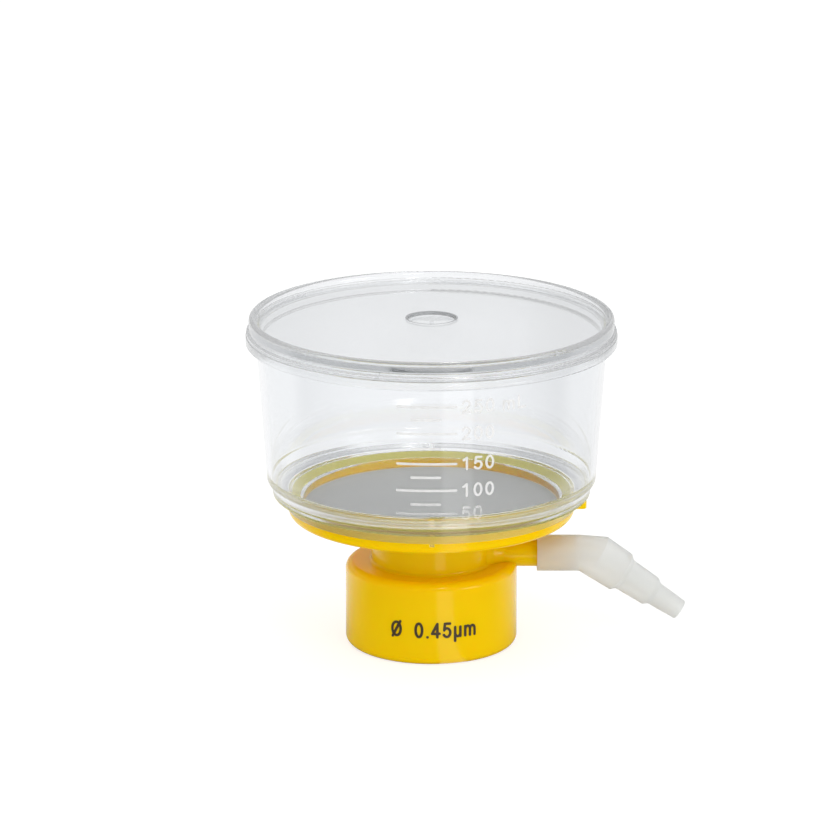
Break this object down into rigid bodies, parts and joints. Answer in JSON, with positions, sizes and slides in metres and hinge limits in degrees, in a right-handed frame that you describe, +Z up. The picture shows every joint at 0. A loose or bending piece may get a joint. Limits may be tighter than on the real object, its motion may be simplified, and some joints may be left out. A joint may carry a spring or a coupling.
{
  "type": "vacuum filtration unit",
  "caption": "Clear round cup with a push-on lid over a filter membrane, on a yellow screw collar with a vacuum side arm and a bent stepped hose adapter.",
  "frame": {"origin": "centre of the screw collar's foot, on the common axis of collar, cup and lid", "axes": "+Z up along the axis from the collar's foot to the lid, +X along the vacuum side arm towards the hose adapter"},
  "size_m": [0.1272, 0.1066, 0.0976],
  "materials": {
    "clear_plastic": "clear polished polystyrene",
    "yellow_plastic": "glossy moulded",
    "membrane": "matte microporous film",
    "gasket": "soft silicone",
    "fibre_plug": "pressed fibre",
    "milky_plastic": "translucent milky moulded"
  },
  "bodies": {
    "filter_body": {"base": "yellow_plastic", "neck_gasket": "gasket", "vacuum_plug": "fibre_plug", "membrane": "membrane", "funnel": "clear_plastic"},
    "lid": {"lid": "clear_plastic"},
    "adapter": {"hose_adapter": "milky_plastic"}
  },
  "joints": [
    {"name": "lid_lift", "type": "slide", "parent": "filter_body", "child": "lid", "axis": [0, 0, 1], "range_m": [0, 0.02]},
    {"name": "adapter_swivel", "type": "hinge", "parent": "filter_body", "child": "adapter", "pos_m": [0.0307, 0, 0.02625], "axis": [1, 0, 0], "continuous": true}
  ]
}
